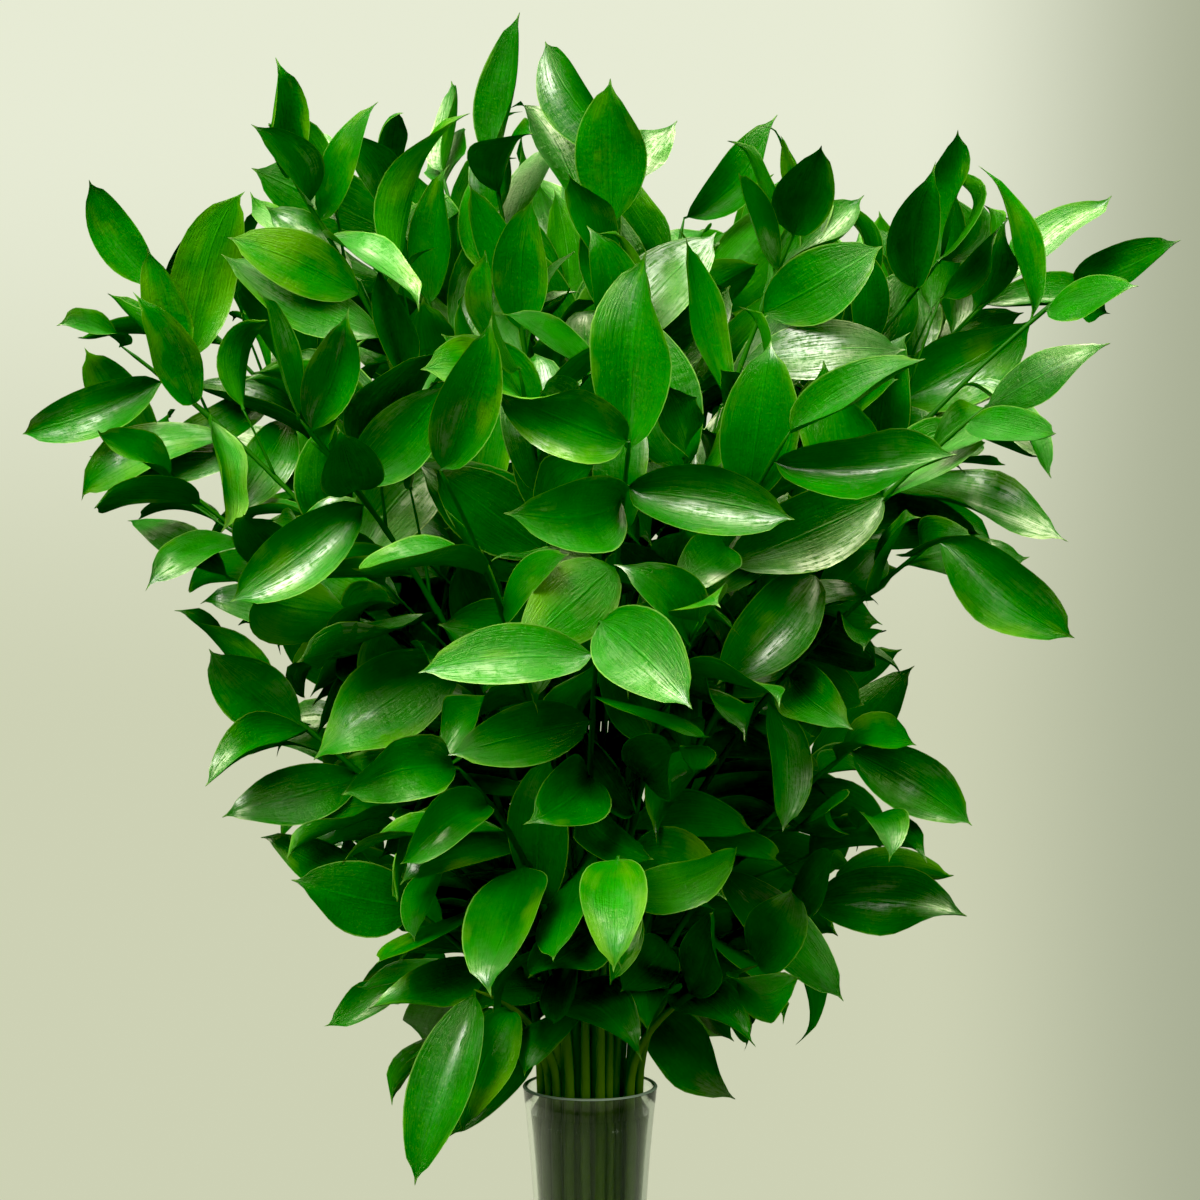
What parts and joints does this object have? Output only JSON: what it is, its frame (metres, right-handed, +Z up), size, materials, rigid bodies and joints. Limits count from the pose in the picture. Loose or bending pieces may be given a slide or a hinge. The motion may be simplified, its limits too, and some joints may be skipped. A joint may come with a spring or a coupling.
{
  "type": "vase of ruscus stems",
  "caption": "Upright bunch of fresh ruscus stems with broad pointed leaves, standing in water in a tapered footed clear glass vase.",
  "frame": {"origin": "middle of the vase's flat underside", "axes": "+Z up through the vase's mouth, -Y towards the bunch's best side, +X to that side's right"},
  "size_m": [0.593, 0.5499, 0.7999],
  "materials": {
    "glass": "clear polished glass",
    "water": "clear water",
    "foliage": "glossy green leaves with fine lengthwise veins and a thin pale edge, on dull green stems"
  },
  "bodies": {
    "root": {"vase": "glass", "water": "water", "leafy_stem_01": "foliage", "leafy_stem_02": "foliage", "leafy_stem_03": "foliage", "leafy_stem_04": "foliage", "leafy_stem_05": "foliage", "leafy_stem_06": "foliage", "leafy_stem_07": "foliage", "leafy_stem_08": "foliage", "leafy_stem_09": "foliage", "leafy_stem_10": "foliage", "leafy_stem_11": "foliage", "leafy_stem_12": "foliage", "leafy_stem_13": "foliage", "leafy_stem_14": "foliage", "leafy_stem_15": "foliage", "leafy_stem_16": "foliage", "leafy_stem_17": "foliage", "leafy_stem_18": "foliage", "leafy_stem_19": "foliage", "leafy_stem_20": "foliage", "leafy_stem_21": "foliage", "leafy_stem_22": "foliage", "leafy_stem_23": "foliage", "leafy_stem_24": "foliage", "leafy_stem_25": "foliage", "leafy_stem_26": "foliage", "leafy_stem_27": "foliage", "leafy_stem_28": "foliage", "leafy_stem_29": "foliage", "leafy_stem_30": "foliage", "leafy_stem_31": "foliage", "leafy_stem_32": "foliage", "leafy_stem_33": "foliage", "leafy_stem_34": "foliage", "leafy_stem_35": "foliage", "leafy_stem_36": "foliage", "leafy_stem_37": "foliage", "leafy_stem_38": "foliage", "leafy_stem_39": "foliage", "leafy_stem_40": "foliage", "leafy_stem_41": "foliage"}
  },
  "joints": []
}
